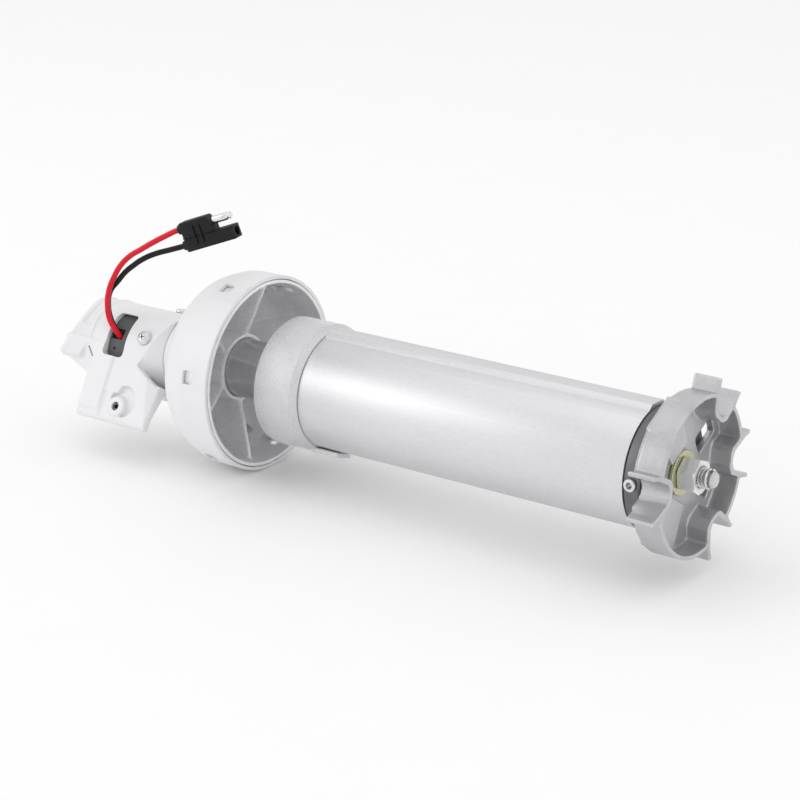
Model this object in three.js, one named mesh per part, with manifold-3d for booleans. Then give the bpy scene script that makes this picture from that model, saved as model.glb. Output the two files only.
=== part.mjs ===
// Roller tube drive motor: a tubular gear motor with its arm head, end cap and drive crown.
// Millimetres, +Z up. The origin is on the flat rear face of the head's leg, which seats
// against the arm, near its middle. The motor axis runs along +X toward the drive crown.
import * as THREE from 'three';
import { mergeVertices } from 'three/addons/utils/BufferGeometryUtils.js';
import Module from 'manifold-3d';

const wasm = await Module();
wasm.setup();

// Motor axis and the lean of the head about it
const AXIS_Y = 31.66;
const AXIS_Z = 19.83;
const HEAD_LEAN_DEG = -30;
const ROUND = 36;

// Arm head
const BARREL_R = 22.5;
const BARREL_DROP = 3.5;
const BARREL_X = [-25, 13];
const SKIRT_END_X = 20.8;
const SKIRT_END_R = 18.6;
const LEG_X = [-19, 26];
const LEG_FRONT = 22;
const LEG_BACK = 17.5;
const LEG_BOTTOM = -45;
const HEAD_UNDERSIDE = -24.5;
const WING_X = [-38, -24.5];
const WINDOW_X = [-13.5, -1];
const WINDOW_W = [-12.5, 10.5];
const PLATE_DEPTH = 3.7;
const HEAD_SCREW_X = 10;
const LEG_SCREW_X = 5.5;

// Neck, end cap
const NECK_R = 14.5;
const NECK_BORE_R = 11.5;
const NECK_X = [1, 88.2];
const RUNNING_GAP = 0.06;
const COVER_LINE = [
  [73.4, 48.5], [57.5, 48.3], [53.2, 47.1], [48.5, 45.4], [44.5, 43.2], [40.5, 39.5],
  [35.2, 33], [30.5, 25.5], [27.5, 21], [24.5, 19.2], [21.5, 18.9],
];
const COVER_WALL = 1.6;
const CASTING_WALL = 1.85;
const CAP_FRONT_X = 74;
const HUB_X = [24, 58];
const HUB_R = 16.8;
const RIB_DEG = [20, 80, 140, 200, 260, 320];
const COVER_WINDOW_DEG = [50, 110, 170, 230, 290, 350];
const CAST_WINDOW_DEG = [50, 290];

// Sleeve and motor tube
const SLEEVE_X = [88.5, 113.4];
const SLEEVE_R = 31.2;
const TUBE_X = [113.7, 291];
const TUBE_R = 28.5;
const TUBE_BORE_R = 26.6;
const STRIP_HALF_WIDTH = 4.5;
const STRIP_FOOT = 7;
const STRIP_TOP = 29.9;

// Gearbox
const MODULE_MM = 0.9;
const SUN_TEETH = 12;
const PLANET_TEETH = 18;
const RING_TEETH = 48;
const PLANET_ORBIT = MODULE_MM * (SUN_TEETH + PLANET_TEETH) / 2;
const STAGE1_X = [207.5, 215.5];
const STAGE2_X = [223.5, 235.5];
const RING_X = [205, 260];
const FLANGE_X = [291.3, 299.4];
const OUTPUT_R = 9;

// Drive crown
const CROWN_X = [301.4, 314.6];
const CROWN_R = 37;
const CROWN_WALL = 1.9;
const TAB_R = 42.5;
const CHANNEL_DEG = [-2, 58, 178, 298];
const WEB_X = [300, 303.6];
const WASHER_X = [303.9, 305.5];
const NUT_X = [305.8, 314.2];
const STUD_END_X = 321;
const STUD_R = 4.76;

// Leads and connector
const LEAD_R = 1.4;
const RED_ROUTE = [
  [8.5, 23.6, 23.8], [-0.5, 23.0, 23.9], [-6.9, 18.2, 23.6], [-8.4, 12.7, 30.1], [-10.6, 9.7, 37.4],
  [-11.4, 9.2, 45.2], [-9.9, 9.2, 53.2], [-6.6, 9.7, 60.4], [-2.5, 10.7, 67.1], [2.8, 11.7, 72.3],
  [8.7, 12.7, 76.1], [15.4, 14.2, 80.4], [22.2, 16.8, 84.5], [27.8, 18.5, 87.6], [29.7, 19.0, 88.3], [31.6, 19.4, 89.0],
];
const BLACK_ROUTE = [
  [8.5, 22.4, 20.6], [-1.5, 21.6, 20.5], [-9.0, 19.4, 20.6], [-10.6, 16.0, 28.0], [-12.4, 12.6, 36.3],
  [-13.4, 12.0, 44.1], [-11.7, 12.0, 51.6], [-6.8, 12.7, 57.6], [-2.4, 13.2, 62.6], [2.7, 13.7, 66.8],
  [8.6, 14.7, 71.0], [15.3, 16.2, 74.4], [23.6, 17.8, 77.4], [30.6, 19.2, 79.9], [32.5, 19.7, 80.6], [34.4, 20.1, 81.4],
];
const CONNECTOR_AT = [30.6, 19.2, 84.3];
const CONNECTOR_PITCH_DEG = 20.5;
const CONNECTOR_YAW_DEG = 13.7;
const POLE_OFFSET = 4.1;

const finish = (colour, roughness, metalness) =>
  new THREE.MeshStandardMaterial({ color: colour, roughness, metalness });
const whitePaint = finish('#f1f1f3', 0.45, 0);
const castAluminium = finish('#a9a9ae', 0.5, 0.85);
const satinAluminium = finish('#c4c3c8', 0.38, 0.9);
const steel = finish('#b9bbbf', 0.25, 1);
const darkCasting = finish('#77777b', 0.55, 0.6);
const zinc = finish('#d9dcdc', 0.25, 1);
const yellowZinc = finish('#c9c9a6', 0.35, 0.8);
const darkPlastic = finish('#5f6266', 0.6, 0);
const blackPlastic = finish('#232326', 0.5, 0);
const blackRubber = finish('#1b1b1d', 0.6, 0);
const redPlastic = finish('#e1253b', 0.4, 0);
const copper = finish('#b06a3b', 0.4, 0.9);
const magnetGrey = finish('#3c3d42', 0.6, 0.2);
const nylon = finish('#dcd9cc', 0.5, 0);
const bronze = finish('#a98545', 0.4, 0.9);

const rad = (degrees) => degrees * Math.PI / 180;

// A closed three.js geometry as a solid with its faces pointing out.
function solid(geometry) {
  const bare = geometry.clone();
  for (const name of Object.keys(bare.attributes)) if (name !== 'position') bare.deleteAttribute(name);
  const merged = mergeVertices(bare, 1e-4);
  const p = merged.attributes.position;
  const index = merged.index.array;
  const at = (i) => new THREE.Vector3().fromBufferAttribute(p, i);
  let triangles = [];
  let volume = 0;
  for (let i = 0; i < index.length; i += 3) {
    const [a, b, c] = [index[i], index[i + 1], index[i + 2]];
    if (a === b || b === c || a === c) continue;
    triangles.push([a, b, c]);
    volume += at(a).dot(at(b).cross(at(c)));
  }
  if (volume < 0) triangles = triangles.map(([a, b, c]) => [a, c, b]);
  const mesh = new wasm.Mesh({
    numProp: 3,
    vertProperties: new Float32Array(p.array),
    triVerts: new Uint32Array(triangles.flat()),
  });
  return new wasm.Manifold(mesh);
}

function sum(...bodies) { return bodies.reduce((a, b) => a.add(b)); }
function cut(body, ...tools) { return tools.reduce((a, b) => a.subtract(b), body); }

// A named piece from a solid.
function piece(name, body, material) {
  const result = body.getMesh();
  const geometry = new THREE.BufferGeometry();
  geometry.setAttribute('position', new THREE.BufferAttribute(new Float32Array(result.vertProperties), 3));
  geometry.setIndex(new THREE.BufferAttribute(new Uint32Array(result.triVerts), 1));
  geometry.computeVertexNormals();
  const mesh = new THREE.Mesh(geometry, material);
  mesh.name = name;
  return mesh;
}

// A profile of [x, radius] points turned about the X axis.
function turned(profile, segments = ROUND) {
  const touchesAxis = profile[0][1] === 0;
  const points = profile.map(([x, r]) => new THREE.Vector2(r, x));
  if (!touchesAxis) points.push(points[0].clone());
  const geometry = new THREE.LatheGeometry(points, segments);
  geometry.rotateZ(-Math.PI / 2);
  return solid(geometry);
}

function disc(x0, x1, r, segments = ROUND) {
  return turned([[x0, 0], [x0, r], [x1, r], [x1, 0]], segments);
}

function ring(x0, x1, outer, inner, segments = ROUND) {
  return turned([[x0, inner], [x0, outer], [x1, outer], [x1, inner]], segments);
}

// An outline of [y, z] points pushed along X.
function prism(outline, x0, x1, holes = []) {
  const shape = new THREE.Shape(outline.map(([y, z]) => new THREE.Vector2(y, z)));
  for (const hole of holes) shape.holes.push(new THREE.Path(hole.map(([y, z]) => new THREE.Vector2(y, z))));
  const geometry = new THREE.ExtrudeGeometry(shape, { depth: x1 - x0, bevelEnabled: false });
  geometry.applyMatrix4(new THREE.Matrix4().set(0, 0, 1, x0, 1, 0, 0, 0, 0, 1, 0, 0, 0, 0, 0, 1));
  return geometry;
}

function block(x, y, z) {
  const geometry = new THREE.BoxGeometry(x[1] - x[0], y[1] - y[0], z[1] - z[0]);
  return geometry.translate((x[0] + x[1]) / 2, (y[0] + y[1]) / 2, (z[0] + z[1]) / 2);
}

// Moves a geometry built at the top of the axis round to an angle measured from +Y toward +Z.
const toAngle = (geometry, degrees) => geometry.rotateX(rad(degrees - 90));

// A round bar standing out from the axis along +Z.
function post(x, z0, z1, r, segments = 24) {
  const geometry = new THREE.CylinderGeometry(r, r, z1 - z0, segments);
  return geometry.rotateX(Math.PI / 2).translate(x, 0, (z0 + z1) / 2);
}

function offsetLine(line, distance) {
  return line.map((point, i) => {
    const before = line[Math.max(i - 1, 0)];
    const after = line[Math.min(i + 1, line.length - 1)];
    const dx = after[0] - before[0];
    const dr = after[1] - before[1];
    const length = Math.hypot(dx, dr);
    return [point[0] - dr / length * distance, point[1] + dx / length * distance];
  });
}

function arcPoints(radius, from, to, steps, centre = [0, 0]) {
  return Array.from({ length: steps + 1 }, (_, i) => {
    const a = rad(from + (to - from) * i / steps);
    return [centre[0] + radius * Math.cos(a), centre[1] + radius * Math.sin(a)];
  });
}

// ---- arm head, built upright about the motor axis, then leaned ----
// y is minus the distance toward the leg's front, z is the distance toward the head's top.

function headBody() {
  const barrel = solid(prism(arcPoints(BARREL_R, 0, 351, 39, [0, -BARREL_DROP]), ...BARREL_X));
  const skirtLength = SKIRT_END_X - BARREL_X[1];
  const skirt = new THREE.CylinderGeometry(SKIRT_END_R, BARREL_R, skirtLength, 40)
    .rotateZ(-Math.PI / 2).translate(skirtLength / 2, 0, 0);
  skirt.applyMatrix4(new THREE.Matrix4().set(
    1, 0, 0, BARREL_X[1], 0, 1, 0, 0, BARREL_DROP / skirtLength, 0, 1, -BARREL_DROP, 0, 0, 0, 1));
  const saddle = solid(block([LEG_X[0], 9], [-LEG_FRONT, 17], [-30, -8]));
  const legOutline = [
    [-LEG_FRONT, 0], [-LEG_FRONT, LEG_BOTTOM + 1.5], [-LEG_FRONT + 1.5, LEG_BOTTOM],
    [-LEG_BACK, LEG_BOTTOM], [-LEG_BACK, 0],
  ];
  const legRelief = solid(block([9, 30], [-30, -10], [-20, 5]));
  const leg = cut(solid(prism(legOutline, ...LEG_X)), legRelief);
  const gusset = solid(block([LEG_X[0], LEG_X[0] + 3.5], [-LEG_BACK - 1, -7], [LEG_BOTTOM + 8, -20]));
  const boss = solid(post(0, 0, 2.5, 5, 32).rotateX(Math.PI / 2).translate(LEG_SCREW_X, -20.5, -36.5));
  const under = solid(block([-60, 60], [-LEG_BACK, 40], [-70, HEAD_UNDERSIDE]));
  const body = cut(sum(barrel, solid(skirt), saddle), under);
  return sum(body, leg, boss, gusset);
}

function wing() {
  const near = [[25.5, -16.5], [22.8, -8.6], [18.4, 0.5], [14.6, 8], [10, 14.4], [5, 17.8], [0, 19]];
  const inside = [[0, 15.8], [3.8, 14.9], [7.8, 11.9], [11.9, 6.2], [15.4, -1], [19.6, -9.8], [22.2, -18]];
  const right = near.map(([n, w]) => [n, w]);
  const left = near.slice(0, -1).reverse().map(([n, w]) => [-n, w]);
  const innerLeft = inside.slice(1).reverse().map(([n, w]) => [-n, w]);
  return solid(prism([...right, ...left, ...innerLeft, ...inside], ...WING_X));
}

function armHead() {
  const tilt = rad(HEAD_LEAN_DEG);
  const socket = disc(WINDOW_X[1] - 0.2, SKIRT_END_X + 1, NECK_R + 0.3);
  const windowBox = solid(block(WINDOW_X, [-40, -PLATE_DEPTH], WINDOW_W));
  const crescent = cut(
    solid(post(0, 0, 9, 8, 32).rotateX(Math.PI / 2).translate(LEG_SCREW_X + 2.5, -20.6, -33)),
    solid(post(0, 0, 20, 5, 32).rotateX(Math.PI / 2).translate(LEG_SCREW_X, -12, -36.5)));
  const setHole = solid(post(0, 0, 20, 2.3, 20).rotateX(Math.PI / 2).translate(LEG_SCREW_X, -8, -36.5));
  const groove = solid(block([-4.3, -1.7], [-30, -21], [-60, -15]));
  const screwHoles = [0, 90].map((turn) =>
    solid(post(HEAD_SCREW_X, 13, 40, 2.2, 20).rotateX(rad(turn))));
  let body = sum(headBody(), wing());
  body = cut(body, socket, windowBox, crescent, setHole, groove, ...screwHoles);
  const head = piece('arm_head', body, whitePaint);
  head.geometry.rotateX(tilt);
  return head;
}

function panScrew(name, x, faceR, turn) {
  const shank = new THREE.CylinderGeometry(1.9, 1.9, 4.4, 12).rotateX(Math.PI / 2).translate(0, 0, -2.2);
  const profile = [[0, 0], [3.6, 0], [3.7, 0.9], [2.9, 2.0], [1.4, 2.5], [0, 2.6]];
  const headShape = new THREE.LatheGeometry(profile.map(([r, z]) => new THREE.Vector2(r, z)), 16);
  headShape.rotateX(Math.PI / 2);
  const slotA = block([-2, 2], [-0.4, 0.4], [1.4, 4]);
  const slotB = block([-0.4, 0.4], [-2, 2], [1.4, 4]);
  const body = cut(sum(solid(shank), solid(headShape)), solid(slotA), solid(slotB));
  const screw = piece(name, body, zinc);
  screw.geometry.translate(x, 0, faceR + 0.3).rotateX(rad(turn));
  return screw;
}

function headPieces() {
  const lean = HEAD_LEAN_DEG;
  const plate = solid(block(
    [WINDOW_X[0] + 0.3, WINDOW_X[1] - 0.5], [-7.5, -PLATE_DEPTH - 0.3], [WINDOW_W[0] + 0.3, WINDOW_W[1] - 0.3]));
  const windowPlate = piece('window_plate', plate, darkPlastic);
  windowPlate.geometry.rotateX(rad(lean));
  const setBody = cut(
    solid(new THREE.CylinderGeometry(2, 2, 6, 16).translate(LEG_SCREW_X, -19.5, -36.5)),
    solid(new THREE.CylinderGeometry(1.1, 1.1, 3, 6).translate(LEG_SCREW_X, -22.5, -36.5)));
  const setScrew = piece('leg_set_screw', setBody, steel);
  setScrew.geometry.rotateX(rad(lean));
  return [
    armHead(),
    panScrew('head_screw_top', HEAD_SCREW_X, BARREL_R - BARREL_DROP, lean),
    panScrew('head_screw_side', HEAD_SCREW_X, BARREL_R - 0.2, lean + 90),
    windowPlate,
    setScrew,
    piece('motor_neck', turned([
      [NECK_X[0], NECK_BORE_R], [NECK_X[0], NECK_R], [NECK_X[1], NECK_R], [NECK_X[1], NECK_BORE_R]]), steel),
  ];
}

// ---- end cap ----

function capCover() {
  const inner = offsetLine(COVER_LINE, COVER_WALL).reverse();
  inner[inner.length - 1] = [COVER_LINE[0][0], COVER_LINE[0][1] - COVER_WALL];
  inner[0] = [COVER_LINE.at(-1)[0], COVER_LINE.at(-1)[1] - COVER_WALL];
  const windows = COVER_WINDOW_DEG.map((a) => {
    const rounded = new THREE.CylinderGeometry(3.3, 3.3, 8, 12).rotateX(Math.PI / 2).translate(62.2, 0, 47.5);
    const straight = block([59, 62.2], [-3.3, 3.3], [43, 51]);
    return sum(solid(toAngle(rounded, a)), solid(toAngle(straight, a)));
  });
  return piece('cap_cover', cut(turned([...COVER_LINE, ...inner]), ...windows), whitePaint);
}

function capCasting() {
  const gap = COVER_WALL + 0.35;
  const outer = offsetLine(COVER_LINE, gap).slice(0, 8);
  outer[0] = [CAP_FRONT_X, COVER_LINE[0][1] - gap];
  const inner = offsetLine(COVER_LINE, gap + CASTING_WALL).slice(0, 8).reverse();
  inner[inner.length - 1] = [CAP_FRONT_X, COVER_LINE[0][1] - gap - CASTING_WALL];
  const bore = NECK_R + RUNNING_GAP;
  const shell = turned([
    ...outer, [29.6, HUB_R + 0.1], [HUB_X[0], HUB_R], [HUB_X[0], bore], [HUB_X[1] - 0.8, bore],
    [HUB_X[1], bore + 0.6], [HUB_X[1], HUB_R], [33, HUB_R], ...inner]);
  const middle = offsetLine(COVER_LINE, gap + 1.1).slice(1, 8);
  const ribShape = new THREE.Shape([
    [HUB_X[1] - 1, HUB_R - 1], [67.5, 45.3], ...middle, [31, HUB_R - 1],
  ].map(([x, r]) => new THREE.Vector2(x, r)));
  const ribs = RIB_DEG.map((a) => {
    const plate = new THREE.ExtrudeGeometry(ribShape, { depth: 2.2, bevelEnabled: false });
    plate.translate(0, 0, -1.1).rotateX(Math.PI / 2);
    return solid(toAngle(plate, a));
  });
  const openings = CAST_WINDOW_DEG.flatMap((a) => [
    solid(toAngle(block([54, 66], [-2.6, 2.6], [38, 52]), a)),
    solid(toAngle(block([36, 54.5], [-2, 2], [33, 42]), a)),
  ]);
  return piece('cap_casting', cut(sum(shell, ...ribs), ...openings), castAluminium);
}

// ---- sleeve, motor tube and what is inside them ----

function sleeve() {
  const body = turned([
    [SLEEVE_X[0], 15], [SLEEVE_X[0], SLEEVE_R - 0.8], [SLEEVE_X[0] + 0.8, SLEEVE_R], [110.2, SLEEVE_R],
    [SLEEVE_X[1], 29.1], [SLEEVE_X[1], 26.2], [120, 26.2], [120, 24], [92.5, 24], [92.5, 15]]);
  const foot = solid(block([90, 112], [-6, 6], [25, SLEEVE_R]).rotateX(rad(162)));
  const tongue = solid(block([110, 126.5], [-5.5, 5.5], [28.9, 31.4]).rotateX(rad(162)));
  return piece('rear_sleeve', sum(body, foot, tongue), castAluminium);
}

function motorTube() {
  const tube = disc(...TUBE_X, TUBE_R);
  const strip = solid(prism([
    [-STRIP_FOOT, 26.9], [-STRIP_FOOT, 27.7], [-STRIP_HALF_WIDTH, STRIP_TOP], [STRIP_HALF_WIDTH, STRIP_TOP],
    [STRIP_FOOT, 27.7], [STRIP_FOOT, 26.9]].reverse(), ...TUBE_X));
  const bore = disc(TUBE_X[0] - 1, TUBE_X[1] + 1, TUBE_BORE_R);
  return piece('motor_tube', cut(sum(tube, strip), bore), satinAluminium);
}

function bearing(name, x, outer, inner) {
  return piece(name, ring(x[0], x[1], outer, inner, 32), steel);
}

function magnet(name, side) {
  const outline = [...arcPoints(23.7, 25, 155, 12), ...arcPoints(19, 155, 25, 12)];
  return piece(name, solid(prism(outline, 139.5, 189.5).rotateX(rad(side))), magnetGrey);
}

function statorPieces() {
  const holder = cut(ring(121, 124.5, 25.8, 5.4, 32), solid(block([120, 130], [6, 20], [-9, -5])));
  const canShell = turned([
    [128.4, 26.1], [203, 26.1], [203, 6.3], [200, 6.3], [200, 24.2], [128.4, 24.2]], 36);
  const brush = (name, turn) =>
    piece(name, solid(block([129.8, 134.2], [-2.2, 2.2], [8.2, 15]).rotateX(rad(turn))), magnetGrey);
  return [
    piece('brush_holder', holder, blackPlastic),
    brush('brush_upper', 0),
    brush('brush_lower', 180),
    piece('motor_can', canShell, darkCasting),
    magnet('magnet_upper', 0),
    magnet('magnet_lower', 180),
    bearing('rotor_bearing_rear', [120.9, 124.6], 5.1, 3.05),
    bearing('rotor_bearing_front', [199.8, 203], 6, 3.05),
  ];
}

// Straight-sided teeth; angles are fractions of one tooth's pitch.
function toothLine(teeth, rootR, tipR, rootHalf, tipHalf, phase) {
  const points = [];
  for (let i = 0; i < teeth; i++) {
    const at = (fraction) => 2 * Math.PI * (i + phase + fraction) / teeth;
    const corner = (r, fraction) => points.push([r * Math.cos(at(fraction)), r * Math.sin(at(fraction))]);
    corner(rootR, -rootHalf);
    corner(tipR, -tipHalf);
    corner(tipR, tipHalf);
    corner(rootR, rootHalf);
  }
  return points;
}

function gearLine(teeth, phase) {
  const pitchR = MODULE_MM * teeth / 2;
  return toothLine(teeth, pitchR - 1.15 * MODULE_MM, pitchR + 0.75 * MODULE_MM, 0.33, 0.11, phase);
}

function circleLine(r, count) {
  return arcPoints(r, 0, 360 - 360 / count, count - 1);
}

function ringGear() {
  const pitchR = MODULE_MM * RING_TEETH / 2;
  const inside = toothLine(RING_TEETH, pitchR + 1.15 * MODULE_MM, pitchR - 0.75 * MODULE_MM, 0.33, 0.11, 0.5);
  return piece('ring_gear', solid(prism(circleLine(26.2, 32), ...RING_X, [inside.reverse()])), darkCasting);
}

// Planet k sits at angle a from +Y. Its phase puts a tooth space over the ring's tooth there.
function planet(name, x, angle, material, holeR) {
  const outline = gearLine(PLANET_TEETH, 0);
  const geometry = prism(outline, ...x, [circleLine(holeR, 12).reverse()]);
  geometry.rotateX(planetTurn(angle));
  geometry.translate(0, PLANET_ORBIT * Math.cos(rad(angle)), PLANET_ORBIT * Math.sin(rad(angle)));
  return piece(name, solid(geometry), material);
}

// The ring's teeth are centred half a pitch past each multiple of its pitch.
function planetTurn(angle) {
  const ringTooth = angle * RING_TEETH / 360;
  const fraction = ringTooth - Math.floor(ringTooth);
  return rad(angle) - 2 * Math.PI * fraction / PLANET_TEETH;
}

const PLANET_DEG = [90, 210, 330];

function sunTurn() {
  const angle = PLANET_DEG[0];
  const planetPhase = (rad(angle + 180) - planetTurn(angle)) * PLANET_TEETH / (2 * Math.PI);
  const toward = rad(angle) * SUN_TEETH / (2 * Math.PI);
  return 2 * Math.PI * (toward + planetPhase - 0.5) / SUN_TEETH;
}

function sunGear(x) {
  const geometry = prism(gearLine(SUN_TEETH, 0), ...x);
  return solid(geometry.rotateX(sunTurn()));
}

function pins(x, r) {
  return PLANET_DEG.map((a) => {
    const pin = new THREE.CylinderGeometry(r, r, x[1] - x[0], 12).rotateZ(-Math.PI / 2);
    pin.translate((x[0] + x[1]) / 2, PLANET_ORBIT * Math.cos(rad(a)), PLANET_ORBIT * Math.sin(rad(a)));
    return solid(pin);
  });
}

function rotorPieces() {
  const shaft = turned([
    [119.5, 0], [119.5, 3], [141, 3], [141, 4], [184, 4], [184, 3], [206, 3], [206, 4], [207, 4], [207, 0]], 32);
  const slots = Array.from({ length: 12 }, (_, i) =>
    solid(block([140, 185], [-1, 1], [12, 20]).rotateX(rad(30 * i))));
  return [
    piece('rotor_shaft', sum(shaft, sunGear([206.5, 216.2])), steel),
    piece('rotor_core', cut(ring(142, 182, 18, 4.3, 48), ...slots), darkCasting),
    piece('winding_rear', turned([
      [136.5, 9], [136.5, 14], [138.5, 17], [141.7, 17], [141.7, 5], [138.5, 5]], 20), copper),
    piece('winding_front', turned([
      [182.3, 5], [182.3, 17], [187, 17], [189, 14], [189, 9], [187, 5]], 20), copper),
    piece('commutator', ring(129.4, 134.6, 8, 3.3, 32), copper),
  ];
}

function gearPieces() {
  const carrier1 = sum(disc(216.7, 221, 18.6, 48), ...pins([207.2, 217.5], 2.4), sunGear([220.5, 236.4]));
  const outline = [
    [237.2, 0], [237.2, 18.6], [243.5, 18.6], [243.5, OUTPUT_R], [298, OUTPUT_R], [298, 7.5], [299.6, 7.5],
    [299.6, 0]];
  const square = solid(block([299, 303.5], [-5.2, 5.2], [-5.2, 5.2]));
  const shaft = sum(turned(outline, 32), ...pins([223.2, 238], 2.8), square, disc(303, STUD_END_X, STUD_R, 32));
  const flange = turned([
    [261, 17.3], [261, 26.2], [FLANGE_X[0], 26.2], [FLANGE_X[0], 28.2], [FLANGE_X[1], 28.2],
    [FLANGE_X[1], OUTPUT_R + 0.3], [278, OUTPUT_R + 0.3], [278, 17.3]], 36);
  const screwHoles = [58, 178, 298].map((a) =>
    solid(toAngle(post(295.3, 22, 32, 2.2, 16), a)));
  return [
    piece('carrier_first', carrier1, steel),
    piece('output_shaft', shaft, steel),
    piece('gearbox_flange', cut(flange, ...screwHoles), darkCasting),
    bearing('output_bearing', [265.5, 277.6], 17, OUTPUT_R + RUNNING_GAP + 0.02),
    ringGear(),
  ];
}

function flangeScrews() {
  return [58, 178, 298].map((a, i) => {
    const shank = solid(toAngle(post(295.3, 24.5, 28.8, 1.6, 12), a));
    const cap = solid(toAngle(post(295.3, 28.5, 30.1, 2.9, 16), a));
    return piece(`flange_screw_${i + 1}`, sum(shank, cap), zinc);
  });
}

// ---- drive crown ----

function channelLine(grow) {
  // r grows outward along +z here, t is across. The mouth flares into two tabs.
  const half = [[TAB_R, 9.6], [37.6, 8.2], [33.5, 6.2], [29.8, 4.6], [28.2, 2.4], [27.6, 0]];
  return half.map(([r, t]) => [t + grow, r - grow]);
}

function crown() {
  const band = ring(...CROWN_X, CROWN_R, CROWN_R - CROWN_WALL, 60);
  const web = disc(...WEB_X, CROWN_R - 1, 60);
  const walls = [];
  const channels = [];
  for (const a of CHANNEL_DEG) {
    const outer = channelLine(1.9);
    outer[0][1] = TAB_R;
    const outline = [...outer, ...outer.slice(0, -1).reverse().map(([t, r]) => [-t, r])];
    walls.push(solid(toAngle(prism(outline, ...CROWN_X), a)));
    const inner = channelLine(0);
    inner[0] = [9.9, TAB_R + 2];
    const hollow = [...inner, ...inner.slice(0, -1).reverse().map(([t, r]) => [-t, r])];
    channels.push(solid(toAngle(prism(hollow, WEB_X[0] - 1, CROWN_X[1] + 1), a)));
  }
  const hub = disc(WEB_X[0], WEB_X[1], 13.5, 48);
  const spokes = [118, 238].map((a) =>
    solid(toAngle(block([WEB_X[0], WEB_X[1] + 3.2], [-7.5, 7.5], [12.5, CROWN_R - 1]), a)));
  const pockets = [28, 328].map((a) =>
    solid(toAngle(block([WEB_X[0] - 3, WEB_X[1] + 3], [-4.5, 4.5], [16, 31]), a)));
  const square = solid(block([290, 320], [-5.5, 5.5], [-5.5, 5.5]));
  const clearance = disc(290, 299.9, 7.9, 48);
  let body = sum(band, web, hub, ...spokes, ...walls);
  body = cut(body, ...channels, ...pockets, square, clearance);
  return piece('drive_crown', body, castAluminium);
}

function crownPieces() {
  const nut = cut(
    solid(prism(circleLine(8.25, 6), ...NUT_X)).intersect(turned([
      [NUT_X[0], 0], [NUT_X[0], 7.7], [NUT_X[0] + 0.8, 8.6], [NUT_X[1] - 0.8, 8.6], [NUT_X[1], 7.7], [NUT_X[1], 0]], 48)),
    disc(NUT_X[0] - 1, NUT_X[1] + 1, STUD_R + 0.3, 32));
  return [
    crown(),
    piece('crown_washer', ring(...WASHER_X, 10.4, STUD_R + 0.3, 48), yellowZinc),
    piece('crown_nut', nut, zinc),
  ];
}

// ---- leads and connector ----

function lead(name, route, material) {
  const curve = new THREE.CatmullRomCurve3(route.map((p) => new THREE.Vector3(...p)), false, 'centripetal');
  const section = new THREE.Shape(Array.from({ length: 8 }, (_, i) =>
    new THREE.Vector2(LEAD_R * Math.cos(rad(45 * i + 22.5)), LEAD_R * Math.sin(rad(45 * i + 22.5)))));
  const geometry = new THREE.ExtrudeGeometry(section, { steps: 34, extrudePath: curve, bevelEnabled: false });
  return piece(name, solid(geometry), material);
}

function connector() {
  const upper = block([2.5, 20], [-3.7, 3.7], [-1, 7.4]);
  const lower = block([2.5, 30.5], [-3.7, 3.7], [-7.4, -0.6]);
  const collars = [POLE_OFFSET, -POLE_OFFSET].map((z) =>
    solid(new THREE.CylinderGeometry(2.7, 2.7, 3.5, 20).rotateZ(Math.PI / 2).translate(1.75, 0, z)));
  const ridges = [9, 12.5].map((x) => solid(block([x, x + 1.2], [-4.2, -3.2], [-4.5, 4.5])));
  const bores = [POLE_OFFSET, -POLE_OFFSET].map((z) =>
    solid(new THREE.CylinderGeometry(1.9, 1.9, 7, 20).rotateZ(Math.PI / 2).translate(0, 0, z)));
  const socket = solid(new THREE.CylinderGeometry(2.2, 2.2, 12, 20).rotateZ(Math.PI / 2)
    .translate(27, 0, -POLE_OFFSET));
  const body = cut(sum(solid(upper), solid(lower), ...collars, ...ridges), ...bores, socket);
  const pinShape = [[20.3, 0], [20.3, 2], [27.5, 2], [28.6, 1.5], [29.4, 1.9], [30.3, 1.2], [30.6, 0]];
  const pin = piece('connector_pin', turned(pinShape, 16), zinc);
  pin.geometry.translate(0, 0, POLE_OFFSET);
  const group = new THREE.Group();
  group.add(piece('connector_body', body, blackRubber), pin);
  group.rotation.set(0, -rad(CONNECTOR_PITCH_DEG), rad(CONNECTOR_YAW_DEG), 'ZYX');
  group.position.set(...CONNECTOR_AT);
  return group;
}

// ---- assembly ----

const onAxis = new THREE.Group();
onAxis.position.set(0, AXIS_Y, AXIS_Z);
onAxis.add(
  ...headPieces(),
  capCover(),
  capCasting(),
  sleeve(),
  motorTube(),
  ...statorPieces(),
  ...rotorPieces(),
  ...gearPieces(),
  ...PLANET_DEG.map((a, i) => planet(`planet_first_${i + 1}`, STAGE1_X, a, nylon, 2.5)),
  ...PLANET_DEG.map((a, i) => planet(`planet_second_${i + 1}`, STAGE2_X, a, bronze, 2.9)),
  ...flangeScrews(),
  ...crownPieces(),
);

const motor = new THREE.Group();
motor.add(
  onAxis,
  lead('red_lead', RED_ROUTE, redPlastic),
  lead('black_lead', BLACK_ROUTE, blackPlastic),
  connector(),
);

export default motor;
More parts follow.
